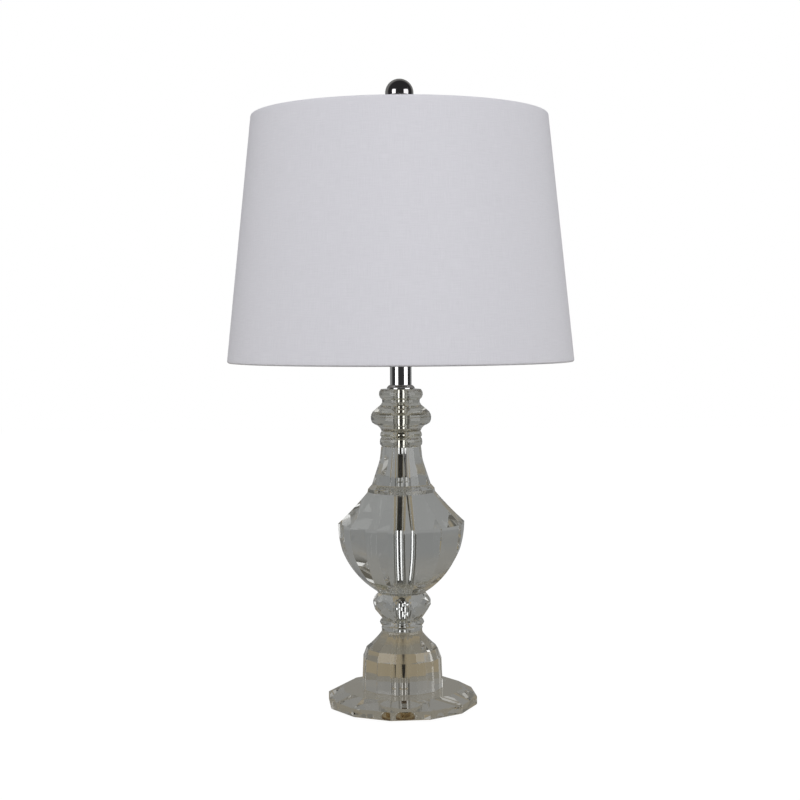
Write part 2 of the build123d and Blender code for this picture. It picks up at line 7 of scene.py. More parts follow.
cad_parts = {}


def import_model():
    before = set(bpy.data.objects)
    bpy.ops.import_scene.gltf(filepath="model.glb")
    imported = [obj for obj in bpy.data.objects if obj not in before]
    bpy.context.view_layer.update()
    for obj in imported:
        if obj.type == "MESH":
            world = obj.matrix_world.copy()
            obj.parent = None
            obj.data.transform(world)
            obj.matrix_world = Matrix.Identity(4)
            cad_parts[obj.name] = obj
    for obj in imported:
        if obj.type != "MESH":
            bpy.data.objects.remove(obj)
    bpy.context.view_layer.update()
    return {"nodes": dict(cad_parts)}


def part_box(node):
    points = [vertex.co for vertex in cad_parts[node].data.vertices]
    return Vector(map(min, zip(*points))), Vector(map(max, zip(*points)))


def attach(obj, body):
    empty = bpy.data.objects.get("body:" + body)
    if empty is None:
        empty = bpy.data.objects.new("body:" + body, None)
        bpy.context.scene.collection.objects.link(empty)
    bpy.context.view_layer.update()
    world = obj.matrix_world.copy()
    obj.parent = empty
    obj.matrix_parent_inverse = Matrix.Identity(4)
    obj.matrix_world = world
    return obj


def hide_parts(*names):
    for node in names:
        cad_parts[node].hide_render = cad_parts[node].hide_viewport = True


# Crystal urn table lamp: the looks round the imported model. Lengths in the outlines are millimetres.

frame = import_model()

MM = 0.001

# Crystals
FACETS = 12
BASE_TURN = 6.0
URN_TURN = -7.0
CRYSTAL_BORE = 7.0
RECESS_RADIUS = 19.5
RECESS_DEPTH = 10.05
EDGE_RADIUS = 0.8
FLAT_STEPS = 5
PROFILE_STEP = 1.0
CUT_STEP = 3.0
ROUND_STEPS = 144
BALL_BEVEL = 0.15
WASHER_RADIUS = 12.5
WASHER_HEIGHT = 0.5
WASHER_BEVEL = 0.1
AIR_GAP = 0.04
FOOT_CIRCLE = 58.0

# Shade: radius and height of its outer face at each rim, then the thickness of its layers and the rims' wires
SHADE_BOTTOM = (177.8, 352.8)
SHADE_TOP = (152.6, 605.7)
SHADE_SLOPE = Vector([high - low for low, high in zip(SHADE_BOTTOM, SHADE_TOP)]).normalized()
SHADE_COLUMNS = 400
COVER = 0.5
LINING = 0.45
LINING_GAP = 0.05
WIRE_RADIUS = 1.5
WIRE_CLEARANCE = 0.6
HEM = 9.0

# Light: how it fades on long paths through the crystals, and how many steps a path can have
CROSSINGS = 2
LONG_PATH = 7
BOUNCED_LIGHT = 0.5
LOST_LIGHT = 0.3
MOST_BOUNCES = 40

# The studio, in the colours that the crystals see. Trapped and lost paths see a lighter front.
ROOM_FRONT = (0.033, 0.033, 0.034)
ROOM_FRONT_TRAPPED = (0.085, 0.083, 0.075)
ROOM_FRONT_LOST = (0.16, 0.156, 0.142)
WALL_LOW = (0.235, 0.238, 0.235)
WALL_HIGH = (0.248, 0.246, 0.235)
FILL_FRONT = (0.87, 0.86, 0.90)
FILL_BACK = (0.05, 0.062, 0.085)
# The floor gives off these colours as light to all but camera rays: a painted glow in place of a lit table.
TABLE_GLOW_FRONT = (0.015, 0.014, 0.012)
TABLE_GLOW_FRONT_TRAPPED = (0.085, 0.08, 0.066)
TABLE_GLOW_FRONT_LOST = (0.16, 0.15, 0.127)
TABLE_GLOW_UNDER_BASE = (0.225, 0.212, 0.18)
TABLE_GLOW_ROUND_BASE = (0.28, 0.24, 0.168)
TABLE_GLOW_BACK = (0.285, 0.288, 0.285)
FLOOR_WHITE = (0.965, 0.965, 0.965)
FLOOR_MATT = (0.1, 0.1, 0.1)

# Camera, from the photograph's 800 pixel frame
FRAME_PIXELS = 800
FOCAL_PIXELS = 1522
CAMERA_PLACE = (-0.0005, -1.567, 0.393)
CAMERA_ROLL = 0.3
CAMERA_SHIFT = -0.0967


def arc(start, middle, end, step):
    """Points on the arc through three points, without its first one."""
    a, b, c = Vector(start), Vector(middle), Vector(end)
    d = 2 * (a.x * (b.y - c.y) + b.x * (c.y - a.y) + c.x * (a.y - b.y))
    x = (a.dot(a) * (b.y - c.y) + b.dot(b) * (c.y - a.y) + c.dot(c) * (a.y - b.y)) / d
    y = (a.dot(a) * (c.x - b.x) + b.dot(b) * (a.x - c.x) + c.dot(c) * (b.x - a.x)) / d
    centre = Vector((x, y))
    radius = (a - centre).length
    first = math.atan2(a.y - y, a.x - x)
    turn = (math.atan2(c.y - y, c.x - x) - first) % math.tau
    if (math.atan2(b.y - y, b.x - x) - first) % math.tau > turn:
        turn -= math.tau
    count = max(2, round(abs(turn) * radius / step))
    angles = [first + turn * i / count for i in range(1, count + 1)]
    return [(x + radius * math.cos(t), y + radius * math.sin(t)) for t in angles]


def line(start, end, step):
    """Points on a straight run, without its first one."""
    a, b = Vector(start), Vector(end)
    count = max(1, round((b - a).length / step))
    return [tuple(a.lerp(b, i / count)) for i in range(1, count + 1)]


def outline(*corners, step=PROFILE_STEP):
    """The points of an outline. Each corner is (radius, height).

    A list of two corners is an arc that passes through the first and ends at the second.
    """
    points = [corners[0]]
    for corner in corners[1:]:
        if isinstance(corner, list):
            points += arc(points[-1], corner[0], corner[1], step)
        else:
            points += line(points[-1], corner, step)
    return points


def circle(radius, count):
    """A round loop of points."""
    angles = [math.tau * i / count for i in range(count)]
    return [(radius * math.cos(t), radius * math.sin(t)) for t in angles]


def polygon(apothem, turn):
    """A twelve-sided loop whose corners are rounded as a polisher leaves them.

    Each facet has the points of its flat, and then one in the middle of the rounded corner.
    """
    half = math.pi / FACETS
    corner = apothem / math.cos(half) - EDGE_RADIUS * (1 / math.cos(half) - 1)
    flat = apothem * math.tan(half) - EDGE_RADIUS * math.tan(half)
    points = []
    for i in range(FACETS):
        normal = math.radians(turn) + 2 * half * i
        out = Vector((math.cos(normal), math.sin(normal)))
        along = Vector((-out.y, out.x))
        for j in range(FLAT_STEPS + 1):
            points.append(tuple(out * apothem + along * flat * (2 * j / FLAT_STEPS - 1)))
        points.append((corner * math.cos(normal + half), corner * math.sin(normal + half)))
    return points


def polygon_circle(radius, turn):
    """A round loop with as many points as a twelve-sided one, in the same directions."""
    shape = polygon(100, turn)
    return [(radius * x / math.hypot(x, y), radius * y / math.hypot(x, y)) for x, y in shape]


def sharp_corners(points, limit=9):
    """Whether a closed outline turns by more than this many degrees, at each of its points."""
    flags = []
    for i, point in enumerate(points):
        before = Vector(point) - Vector(points[i - 1])
        after = Vector(points[(i + 1) % len(points)]) - Vector(point)
        flags.append(before.length < 1e-6 or after.length < 1e-6 or before.angle(after) > math.radians(limit))
    return flags


def place(name, data):
    """A new object with this mesh, light or lens."""
    made = bpy.data.objects.new(name, data)
    bpy.context.collection.objects.link(made)
    return made


def piece_from(shape, name):
    """A new piece from a finished bmesh."""
    mesh = bpy.data.meshes.new(name)
    shape.to_mesh(mesh)
    shape.free()
    return place(name, mesh)


def skin(name, loops, sharp_rings, sharp_columns=()):
    """A closed mesh through these loops, the last of which joins the first.

    Loops have as many points as each other. A ring is an edge along a loop, and a column is one that runs
    from loop to loop.
    """
    count = len(loops[0])
    mesh = bpy.data.meshes.new(name)
    vertices = [(x * MM, y * MM, z * MM) for loop in loops for x, y, z in loop]
    faces = []
    for i in range(len(loops)):
        low, high = i * count, (i + 1) % len(loops) * count
        faces += [(low + j, low + (j + 1) % count, high + (j + 1) % count, high + j) for j in range(count)]
    mesh.from_pydata(vertices, [], faces)
    mesh.polygons.foreach_set("use_smooth", [True] * len(faces))
    shape = bmesh.new()
    shape.from_mesh(mesh)
    shape.verts.ensure_lookup_table()
    for edge in shape.edges:
        a, b = (v.index for v in edge.verts)
        ring = a // count == b // count
        edge.smooth = not (sharp_rings[a // count] if ring else a % count in sharp_columns)
    bmesh.ops.remove_doubles(shape, verts=shape.verts, dist=1e-7)
    bmesh.ops.recalc_face_normals(shape, faces=shape.faces)
    shape.to_mesh(mesh)
    shape.free()
    return place(name, mesh)


def revolve(name, points, base=0.0, count=ROUND_STEPS, limit=25):
    """A piece turned about Z from a closed outline, whose heights count from base in millimetres."""
    loops = [[(x, y, z + base) for x, y in circle(max(r, 0), count)] for r, z in points]
    return skin(name, loops, sharp_corners(points, limit))


def faceted(name, outer, turn, base, inner):
    """A crystal with twelve flat-sided facets that follow an outline, and a round bore."""
    loops = [[(x, y, z + base) for x, y in polygon(r, turn)] for r, z in outer]
    loops += [[(x, y, z + base) for x, y in polygon_circle(r, turn)] for r, z in inner]
    per_facet = FLAT_STEPS + 2
    ends = {i * per_facet for i in range(FACETS)} | {i * per_facet + FLAT_STEPS for i in range(FACETS)}
    return skin(name, loops, sharp_corners(outer + inner, 12), ends)


def paint(piece, material):
    """Gives a piece one material all over."""
    piece.data.materials.clear()
    piece.data.materials.append(material)


def dress(piece, body, slot, material, *nodes):
    """Puts a finished piece on its body, in place of these nodes."""
    paint(piece, material)
    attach(piece, body)
    if nodes:
        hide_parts(*nodes)


def floor_of(name):
    """The height of a node's underside, in millimetres."""
    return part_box(name)[0].z / MM


def top_of(name):
    """The height of a node's top, in millimetres."""
    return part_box(name)[1].z / MM


# Materials


def shader(name, **values):
    """A new material with its node tree and Principled shader. The values are the shader's, by socket."""
    material = bpy.data.materials.new(name)
    material.use_nodes = True
    principled = material.node_tree.nodes["Principled BSDF"]
    for socket, value in values.items():
        principled.inputs[socket.replace("_", " ")].default_value = value
    return material, material.node_tree, principled


def node(tree, kind, inputs=None, **settings):
    """A new node with these settings. An input is a value, or a socket to link from."""
    made = tree.nodes.new(kind)
    for key, value in settings.items():
        setattr(made, key, value)
    for key, value in (inputs or {}).items():
        if isinstance(value, bpy.types.NodeSocket):
            tree.links.new(value, made.inputs[key])
        else:
            made.inputs[key].default_value = value
    return made


def coordinates(tree, scale=(1, 1, 1)):
    """Object coordinates, stretched."""
    where = node(tree, "ShaderNodeTexCoord").outputs["Object"]
    return node(tree, "ShaderNodeMapping", {"Vector": where, "Scale": scale}).outputs["Vector"]


def noise(tree, vector, scale, detail=3, roughness=0.5):
    """The value of a noise texture."""
    settings = {"Vector": vector, "Scale": scale, "Detail": detail, "Roughness": roughness}
    return node(tree, "ShaderNodeTexNoise", settings).outputs["Fac"]


def ranged(tree, value, low, high, start=0.0, end=1.0):
    """A value taken from start..end to low..high."""
    settings = {"Value": value, "From Min": start, "From Max": end, "To Min": low, "To Max": high}
    return node(tree, "ShaderNodeMapRange", settings).outputs["Result"]


def maths(tree, operation, first, second):
    """The result of one operation on two values or sockets."""
    return node(tree, "ShaderNodeMath", {0: first, 1: second}, operation=operation).outputs[0]


def mixed(tree, share, first, second):
    """The first colour where the share is 0, and the second where it is 1. A colour can be a socket."""
    inputs = {0: share}
    for index, colour in ((6, first), (7, second)):
        inputs[index] = colour if isinstance(colour, bpy.types.NodeSocket) else (*colour, 1)
    return node(tree, "ShaderNodeMix", inputs, data_type="RGBA").outputs[2]


def bump(tree, height, distance, strength=1.0):
    """A normal from a height, whose full range stands for this many metres."""
    settings = {"Height": height, "Distance": distance, "Strength": strength}
    return node(tree, "ShaderNodeBump", settings).outputs["Normal"]


def crystal_material(name, tint, index=1.52):
    """Clear cut crystal, with the faint haze of handling. The index is that of its refraction."""
    material, tree, principled = shader(
        name, Transmission_Weight=1.0, IOR=index, Roughness=0.0, Base_Color=(*tint, 1)
    )
    haze = noise(tree, coordinates(tree), 18, 4)
    tree.links.new(ranged(tree, haze, 0.0, 0.02, 0.5, 0.8), principled.inputs["Roughness"])
    return material


def metal_material(name, light, dark, roughness, scale=90):
    """A polished metal, with faint wipe marks. The roughness is that of its smooth and its wiped places."""
    material, tree, principled = shader(name, Metallic=1.0)
    marks = noise(tree, coordinates(tree, (1, 1, 0.2)), scale, 4)
    tree.links.new(ranged(tree, marks, *roughness, 0.3, 0.75), principled.inputs["Roughness"])
    tree.links.new(mixed(tree, marks, light, dark), principled.inputs["Base Color"])
    return material


def plain_material(name, light, dark, roughness, scale=60, grain=0.00005, **values):
    """A moulded, painted or paper surface, slightly mottled and grained."""
    material, tree, principled = shader(name, **values)
    mottle = noise(tree, coordinates(tree), scale, 4)
    fine = noise(tree, coordinates(tree), scale * 14, 2)
    tree.links.new(mixed(tree, mottle, light, dark), principled.inputs["Base Color"])
    tree.links.new(ranged(tree, mottle, roughness * 0.85, roughness * 1.15), principled.inputs["Roughness"])
    tree.links.new(bump(tree, fine, grain), principled.inputs["Normal"])
    return material


def linen_material():
    """White linen: fine threads both ways, with slubs. The pattern lies on the unrolled shade."""
    mean_radius = 0.165
    pitch = 310
    across_threads = 1600
    along_threads = 60
    material, tree, principled = shader("linen", Sheen_Weight=0.25, Sheen_Roughness=0.5)
    where = node(tree, "ShaderNodeTexCoord").outputs["Object"]
    parts = node(tree, "ShaderNodeSeparateXYZ", {"Vector": where}).outputs
    around = maths(tree, "MULTIPLY", maths(tree, "ARCTAN2", parts["Y"], parts["X"]), mean_radius)
    cloth = node(tree, "ShaderNodeCombineXYZ", {"X": around, "Y": parts["Z"]}).outputs[0]

    def threads(scale, direction):
        """The slubs and the stripes of one set of threads, which lie side by side in this direction."""
        stretched = node(tree, "ShaderNodeMapping", {"Vector": cloth, "Scale": scale}).outputs[0]
        slub = noise(tree, stretched, 1.0, 3, 0.6)
        stripe = node(tree, "ShaderNodeTexWave", {
            "Vector": cloth, "Scale": pitch, "Distortion": 1.2, "Detail": 2, "Detail Scale": 0.6,
        }, bands_direction=direction, wave_profile="SIN").outputs["Fac"]
        return slub, stripe

    warp_slub, warp = threads((across_threads, along_threads, 1), "X")
    weft_slub, weft = threads((along_threads, across_threads, 1), "Y")
    slubs = maths(tree, "ADD", warp_slub, weft_slub)
    paleness = ranged(tree, slubs, 0, 1, 0.75, 1.25)
    colour = mixed(tree, paleness, (0.785, 0.782, 0.812), (0.845, 0.842, 0.872))
    tree.links.new(colour, principled.inputs["Base Color"])
    relief = maths(tree, "ADD", slubs, maths(tree, "MULTIPLY", warp, weft))
    tree.links.new(bump(tree, relief, 0.00012, 0.6), principled.inputs["Normal"])
    tree.links.new(ranged(tree, slubs, 0.82, 0.95, 0.6, 1.4), principled.inputs["Roughness"])
    return material


CRYSTAL = crystal_material("crystal", (0.975, 0.985, 0.975))
# The warm and the olive tints are painted reflections: they stand in for the warm table and the room that the
# crystals mirror and bend.
WARM_REFLECTION_TINTED_CRYSTAL = crystal_material("warm_reflection_tinted_crystal", (0.985, 0.975, 0.945))
OLIVE_REFLECTION_TINTED_CRYSTAL = crystal_material("olive_reflection_tinted_crystal", (0.965, 0.96, 0.905))
CHROME = metal_material("chrome", (0.88, 0.88, 0.89), (0.84, 0.84, 0.85), (0.02, 0.06))
DARK_CHROME = metal_material("dark_chrome", (0.62, 0.61, 0.62), (0.56, 0.55, 0.56), (0.03, 0.08))
NICKEL = metal_material("nickel", (0.72, 0.70, 0.66), (0.62, 0.60, 0.56), (0.15, 0.3), scale=60)
ZINC = metal_material("yellow_zinc", (0.78, 0.62, 0.36), (0.62, 0.48, 0.26), (0.2, 0.4), scale=130)
BRASS = metal_material("brass", (0.80, 0.62, 0.32), (0.66, 0.48, 0.22), (0.2, 0.4), scale=80)
BULB_CAP = metal_material("bulb_cap", (0.78, 0.78, 0.79), (0.66, 0.66, 0.68), (0.25, 0.4))
VINYL = crystal_material("clear_vinyl", (0.95, 0.96, 0.95), 1.49)
RUBBER = plain_material("gum_rubber", (0.68, 0.46, 0.25), (0.56, 0.37, 0.19), 0.6)
PHENOLIC = plain_material("black_phenolic", (0.035, 0.031, 0.028), (0.022, 0.02, 0.018), 0.3)
NYLON = plain_material("nylon", (0.09, 0.09, 0.092), (0.06, 0.06, 0.062), 0.5)
CARD = plain_material("liner_card", (0.52, 0.38, 0.23), (0.42, 0.30, 0.17), 0.85, scale=200)
FROSTED = plain_material(
    "frosted_glass", (0.93, 0.93, 0.92), (0.88, 0.88, 0.87), 0.25, scale=40, grain=0.00001, Coat_Weight=0.6
)
STYRENE = plain_material(
    "shade_styrene", (0.86, 0.86, 0.85), (0.82, 0.82, 0.81), 0.45, scale=30, grain=0.00002
)
WHITE_WIRE = plain_material("white_wire", (0.86, 0.86, 0.85), (0.78, 0.78, 0.77), 0.35)
LINEN = linen_material()


# Crystals


def bored(top, bottom=0.0):
    """The bore's outline, downwards."""
    return [(CRYSTAL_BORE, top), (CRYSTAL_BORE, bottom)]


def cut_crystals():
    """The crystals with flat facets."""
    base_top = top_of("base_plate") - floor_of("base_plate")
    rim = 74.6
    bevel = 0.8
    slab = outline((rim - bevel, 0), (rim, bevel), (rim, 8.5), (60.4, base_top), step=6)
    recess = [(CRYSTAL_BORE, base_top), (CRYSTAL_BORE, RECESS_DEPTH), (RECESS_RADIUS, RECESS_DEPTH)]
    recess.append((RECESS_RADIUS, 0))
    piece = faceted("base_plate_cut", slab, BASE_TURN, floor_of("base_plate"), recess)
    dress(piece, "lamp_body", "crystal", WARM_REFLECTION_TINTED_CRYSTAL, "base_plate")

    bell = outline((40.5, 0), (39.3, 30.8), (35.8, 40.1), [(27.6, 47.6), (20.6, 56.0)], (20.4, 58.0))
    piece = faceted("bell_cut", bell, BASE_TURN, floor_of("bell_crystal"), bored(58.0))
    dress(piece, "lamp_body", "crystal", WARM_REFLECTION_TINTED_CRYSTAL, "bell_crystal")

    urn = outline(
        (23.9, 0), (25.3, 1.5), [(47.3, 22.1), (58.9, 42.7)], [(61.9, 55.0), (63.4, 71.4)],
        [(46.9, 88.0), (34.0, 103.0)], (33.4, 106.4), (29.7, 110.7),
    )
    piece = faceted("urn_cut", urn, URN_TURN, floor_of("urn_crystal"), bored(110.7))
    dress(piece, "lamp_body", "crystal", CRYSTAL, "urn_crystal")

    neck = outline((29.4, 0), (22.9, 20.3), [(21.5, 25.6), (21.0, 29.0)], (20.1, 38.2))
    piece = faceted("neck_cut", neck, URN_TURN, floor_of("neck_crystal"), bored(38.2))
    dress(piece, "lamp_body", "crystal", CRYSTAL, "neck_crystal")


def turned_crystals():
    """The round crystals, turned in narrow steps."""
    shapes = {
        "ring": ((20.6, 0), (21.2, 2.4), (20.3, 4.2), (22.0, 6.0), (22.8, 7.8), (22.0, 9.8), (20.4, 11.5)),
        "collar": (
            (20.2, 0), (21.6, 1.8), (21.9, 4.6), (21.5, 7.4), (20.3, 9.2), (21.5, 10.8), (21.3, 13.2),
            (20.2, 15.2),
        ),
        "bead": (
            (20.2, 0), [(22.2, 3.8), (27.2, 6.8)], (29.9, 8.8), [(31.1, 13.6), (29.1, 19.8)],
            (23.4, 24.7), [(20.7, 27.0), (19.6, 29.0)],
        ),
        "disc": ((19.4, 0), (19.4, 2.6), [(22.6, 9.2), (20.8, 13.2)]),
    }
    for name, corners in shapes.items():
        side = outline(*corners, step=CUT_STEP)
        points = side + bored(side[-1][1])
        piece = revolve(f"{name}_turned", points, floor_of(f"{name}_crystal"), limit=1)
        # The olive tint of the turned crystals is a painted reflection of their surroundings.
        material = CRYSTAL if name == "ring" else OLIVE_REFLECTION_TINTED_CRYSTAL
        dress(piece, "lamp_body", "crystal", material, f"{name}_crystal")


def clear_plastic():
    """The washers, with a hair of air between them and the crystals, and the feet."""
    crystals = ["base_plate", "bell_crystal", "ring_crystal", "ball_crystal", "urn_crystal", "neck_crystal"]
    crystals += ["collar_crystal", "bead_crystal", "disc_crystal"]
    top = WASHER_HEIGHT - 2 * AIR_GAP
    edge = WASHER_RADIUS - WASHER_BEVEL
    section = outline(
        (CRYSTAL_BORE, 0), (edge, 0), (WASHER_RADIUS, WASHER_BEVEL), (WASHER_RADIUS, top - WASHER_BEVEL),
        (edge, top), (CRYSTAL_BORE, top), step=9,
    )
    for crystal in crystals:
        piece = revolve(f"washer_on_{crystal}", section, top_of(crystal) + AIR_GAP, 96)
        dress(piece, "lamp_body", "clear_vinyl", VINYL, "clear_washers")
    foot = outline((0, 0), (4.0, 0), [(5.05, 0.95), (5.5, 2.3)], (5.4, 2.46), (0, 2.46), step=0.5)
    for i in range(4):
        piece = revolve(f"foot_{i}", foot, 0, 48)
        turn = math.radians(45 + 90 * i)
        piece.location = (FOOT_CIRCLE * MM * math.cos(turn), FOOT_CIRCLE * MM * math.sin(turn), 0)
        dress(piece, "lamp_body", "clear_vinyl", VINYL, "feet")


def diamond_crystal():
    """The diamond-cut ball: rows of corners, each turned half a facet from the row below."""
    rows = [(20.8, 0.0), (27.9, 9.2), (29.9, 14.2), (29.9, 18.2), (28.2, 22.0), (24.4, 26.0)]
    base = floor_of("ball_crystal")
    per_facet = 8
    shape = bmesh.new()

    def loop(radius, height, turn, count):
        """The corners of a regular polygon, the first of them turned by this many degrees."""
        angles = [math.radians(turn) + math.tau * i / count for i in range(count)]
        points = [(radius * math.cos(t), radius * math.sin(t), height + base) for t in angles]
        return [shape.verts.new([value * MM for value in point]) for point in points]

    half = 180 / FACETS
    corners = [loop(r, z, URN_TURN + half * i, FACETS) for i, (r, z) in enumerate(rows)]
    for low, high in zip(corners, corners[1:]):
        for i in range(FACETS):
            shape.faces.new((low[i], low[(i + 1) % FACETS], high[i]))
            shape.faces.new((low[i], high[i], high[i - 1]))
    cut_edges = list(shape.edges)
    bores = []
    for row in (0, len(rows) - 1):
        bore = loop(CRYSTAL_BORE, rows[row][1], URN_TURN + half * row, FACETS * per_facet)
        for i in range(FACETS):
            rim = [bore[(i * per_facet + j) % len(bore)] for j in range(per_facet + 1)]
            shape.faces.new([corners[row][i], corners[row][(i + 1) % FACETS], *reversed(rim)])
        bores.append(bore)
    low, high = bores
    shift = per_facet // 2 * (len(rows) - 1)
    for i in range(len(low)):
        j = (i + 1) % len(low)
        shape.faces.new((low[i], low[j], high[j - shift], high[i - shift]))
    bmesh.ops.recalc_face_normals(shape, faces=shape.faces)
    bmesh.ops.bevel(shape, geom=cut_edges, offset=BALL_BEVEL * MM, segments=1, affect="EDGES", profile=0.5)
    for face in shape.faces:
        face.smooth = max(math.hypot(v.co.x, v.co.y) for v in face.verts) < 1.01 * CRYSTAL_BORE * MM
    dress(piece_from(shape, "ball_cut"), "lamp_body", "crystal", CRYSTAL, "ball_crystal")


cut_crystals()
turned_crystals()
diamond_crystal()
clear_plastic()


# Chrome


def chrome_neck():
    """The rod and the neck, finely turned because the crystals magnify them."""
    length = top_of("rod") - floor_of("rod")
    rod = outline((4.0, 0), (4.7, 0), (5.0, 0.3), (5.0, length - 0.3), (4.7, length), (4.0, length), step=20)
    piece = revolve("rod_polished", rod, floor_of("rod"), 96)
    dress(piece, "lamp_body", "chrome", CHROME, "rod")

    flange = outline(
        (5.0, 0), (14.1, 0), (14.3, 0.2), (14.3, 1.2), [(13.01, 2.96), (11.1, 4.0)], (10.1, 4.0), (10.1, 7.0),
        (5.0, 7.0), step=0.4,
    )
    piece = revolve("flange_polished", flange, floor_of("neck_flange"), 192)
    dress(piece, "lamp_body", "chrome", CHROME, "neck_flange")

    height = top_of("neck_tube") - floor_of("neck_tube")
    tube = outline(
        (10.1, 0), (10.9, 0), (11.1, 0.2), (11.1, height - 0.2), (10.9, height), (10.1, height), step=10
    )
    piece = revolve("tube_polished", tube, floor_of("neck_tube"), 192)
    dress(piece, "lamp_body", "chrome", CHROME, "neck_tube")

    washer = outline(
        (5.0, -3.0), (10.1, -3.0), (10.1, 0), (12.4, 0), (12.6, 0.2), (12.6, 1.0),
        [(12.307, 1.707), (11.6, 2.0)], (5.0, 2.0), step=0.4,
    )
    piece = revolve("top_washer_polished", washer, top_of("tube_top_washer") - 2.0, 128)
    dress(piece, "lamp_body", "chrome", CHROME, "tube_top_washer")


def dark_finial():
    """The ball finial on its turned foot."""
    base = floor_of("finial")
    top = top_of("finial") - base
    ball = 14.6
    centre = top - ball
    stem = 4.4
    join = centre - math.sqrt(ball ** 2 - stem ** 2)
    bore = 3.25
    profile = outline(
        (4.3, 0), (7.2, 0), [(7.867, 1.3), (7.2, 2.6)], [(5.6, 4.6), (5.6, 6.6)], [(6.425, 8.0), (5.6, 9.4)],
        [(4.6, 11.5), (stem, join)], [(ball, centre), (0, top)], step=0.35,
    )
    profile += [(0, 12.0), (bore, 12.0), (bore, 8.0), (4.3, 8.0)]
    piece = revolve("finial_polished", profile, base, 160)
    dress(piece, "finial", "dark_chrome", DARK_CHROME, "finial")


chrome_neck()
dark_finial()


# Shade


def shade_point(inward, along, at_top=False):
    """A point of the shade's section, inward from its outer face and along its slope from a rim."""
    inner = Vector((-SHADE_SLOPE.y, SHADE_SLOPE.x))
    if at_top:
        return tuple(Vector(SHADE_TOP) + inner * inward - SHADE_SLOPE * along)
    return tuple(Vector(SHADE_BOTTOM) + inner * inward + SHADE_SLOPE * along)


def hem_path(at_top):
    """The middle of the cloth round one rim's wire, from the outer face to the glued end inside."""
    middle = COVER / 2
    wire = COVER + WIRE_RADIUS
    fold = wire + WIRE_RADIUS + middle
    lining = COVER + LINING_GAP + LINING + middle
    path = [shade_point(middle, wire, at_top)]
    path += arc(path[-1], shade_point(wire, middle, at_top), shade_point(fold, wire, at_top), 0.5)
    path += line(path[-1], shade_point(fold, wire + WIRE_RADIUS, at_top), 0.8)
    path += line(path[-1], shade_point(lining, 2 * wire + HEM / 3, at_top), 1.0)
    path += line(path[-1], shade_point(lining, 2 * wire + HEM, at_top), 1.5)
    return path


def cover_cloth():
    """The linen cover, one sheet rolled round the wire at each rim. Its columns count from the back."""
    low, high = hem_path(False), hem_path(True)
    path = list(reversed(low)) + line(low[0], high[0], 3.0)[:-1] + high
    back = math.pi / 2
    angles = [back + math.tau * i / SHADE_COLUMNS for i in range(SHADE_COLUMNS)]
    shape = bmesh.new()
    grid = []
    for r, z in path:
        points = [(r * math.cos(angle) * MM, r * math.sin(angle) * MM, z * MM) for angle in angles]
        grid.append([shape.verts.new(point) for point in points])
    for low_row, high_row in zip(grid, grid[1:]):
        for i in range(SHADE_COLUMNS):
            j = (i + 1) % SHADE_COLUMNS
            shape.faces.new((low_row[i], low_row[j], high_row[j], high_row[i]))
    for face in shape.faces:
        face.smooth = True
    piece = piece_from(shape, "cover_linen")
    thick = piece.modifiers.new("cloth", "SOLIDIFY")
    thick.thickness = COVER * MM
    thick.offset = 0
    dress(piece, "shade", "linen", LINEN, "shade_cover")
    return piece


def lining_sheet():
    """The stiff lining, seen from below and from above."""
    start = COVER + 2 * WIRE_RADIUS + WIRE_CLEARANCE
    near = COVER + LINING_GAP
    far = near + LINING
    corners = [shade_point(near, start), shade_point(far, start)]
    corners += [shade_point(far, start, True), shade_point(near, start, True)]
    piece = revolve("lining_styrene", outline(*corners, step=8), 0, SHADE_COLUMNS)
    dress(piece, "shade", "shade_styrene", STYRENE, "shade_lining")


cover = cover_cloth()
lining_sheet()


# The pieces that keep their CAD form

KEPT = {
    "rubber_washer": RUBBER, "steel_washer": ZINC, "base_nut": ZINC,
    "cord_bushing": NYLON, "harp_saddle": NICKEL, "lock_nut": NICKEL, "harp": NICKEL,
    "harp_stud": NICKEL, "harp_sleeve_left": NICKEL, "harp_sleeve_right": NICKEL, "socket_cap": NICKEL,
    "socket_shell": NICKEL, "socket_liner": CARD, "socket_body": PHENOLIC, "screw_shell": BRASS,
    "centre_contact": BRASS, "switch_stem": BRASS, "switch_knob": PHENOLIC, "bulb_glass": FROSTED,
    "bulb_base": BULB_CAP, "bulb_contact": BRASS, "shade_bottom_ring": WHITE_WIRE, "shade_spider": WHITE_WIRE,
    "finial_insert": BRASS,
}
for name, material in KEPT.items():
    paint(frame["nodes"][name], material)


# Stage, light and camera


def trapped(tree, bounces):
    """1 on paths that stayed in a single crystal for so many bounces, and 0 on all others.

    Such a path crosses the crystal's surface twice, on its way in and on its way out.
    """
    path = node(tree, "ShaderNodeLightPath").outputs
    long = maths(tree, "GREATER_THAN", path["Ray Depth"], bounces + CROSSINGS - 0.5)
    single = maths(tree, "LESS_THAN", path["Transmission Depth"], CROSSINGS + 0.5)
    return maths(tree, "MULTIPLY", long, single)


def lost(tree):
    """1 on paths of at least four bounces in one crystal, or of many steps in several, and otherwise 0."""
    depth = node(tree, "ShaderNodeLightPath").outputs["Ray Depth"]
    many = maths(tree, "GREATER_THAN", depth, LONG_PATH - 0.5)
    return maths(tree, "MAXIMUM", many, trapped(tree, 4))


def front_colour(tree, plain, after_bounces, after_many):
    """The colour of what is in front of the lamp, lighter on the paths that are trapped or lost."""
    return mixed(tree, lost(tree), mixed(tree, trapped(tree, 2), plain, after_bounces), after_many)


